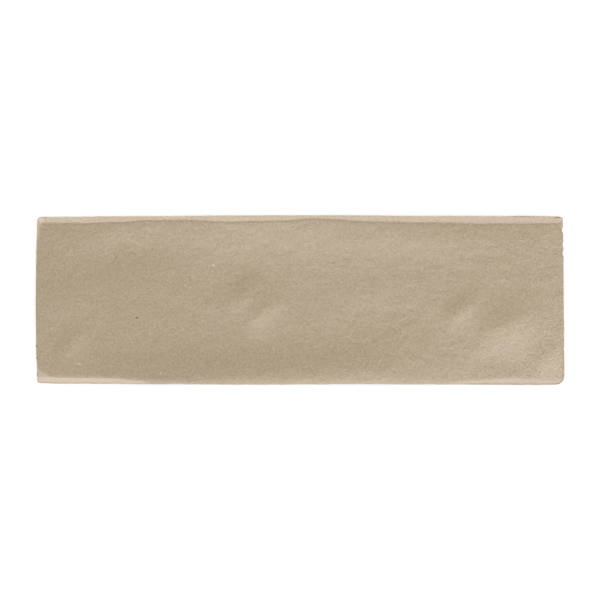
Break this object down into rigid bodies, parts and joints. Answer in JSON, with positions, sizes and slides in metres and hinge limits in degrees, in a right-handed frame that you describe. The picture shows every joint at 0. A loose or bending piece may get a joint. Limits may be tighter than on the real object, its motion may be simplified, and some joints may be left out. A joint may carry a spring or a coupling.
{
  "type": "textured wall tile",
  "caption": "Long ceramic wall tile with a hand-made look: wavy satin-glazed face, pale wandering rim, bowed edges and a keyed back.",
  "frame": {"origin": "middle of the back's lands, which the tile lies on", "axes": "+X along the tile's length, +Y across it, +Z out of the glazed face"},
  "size_m": [0.2, 0.0644, 0.0091],
  "materials": {
    "glaze": "satin olive-taupe glaze with a fine leathery grain over a pale biscuit body"
  },
  "bodies": {
    "root": {"tile": "glaze"}
  },
  "joints": []
}
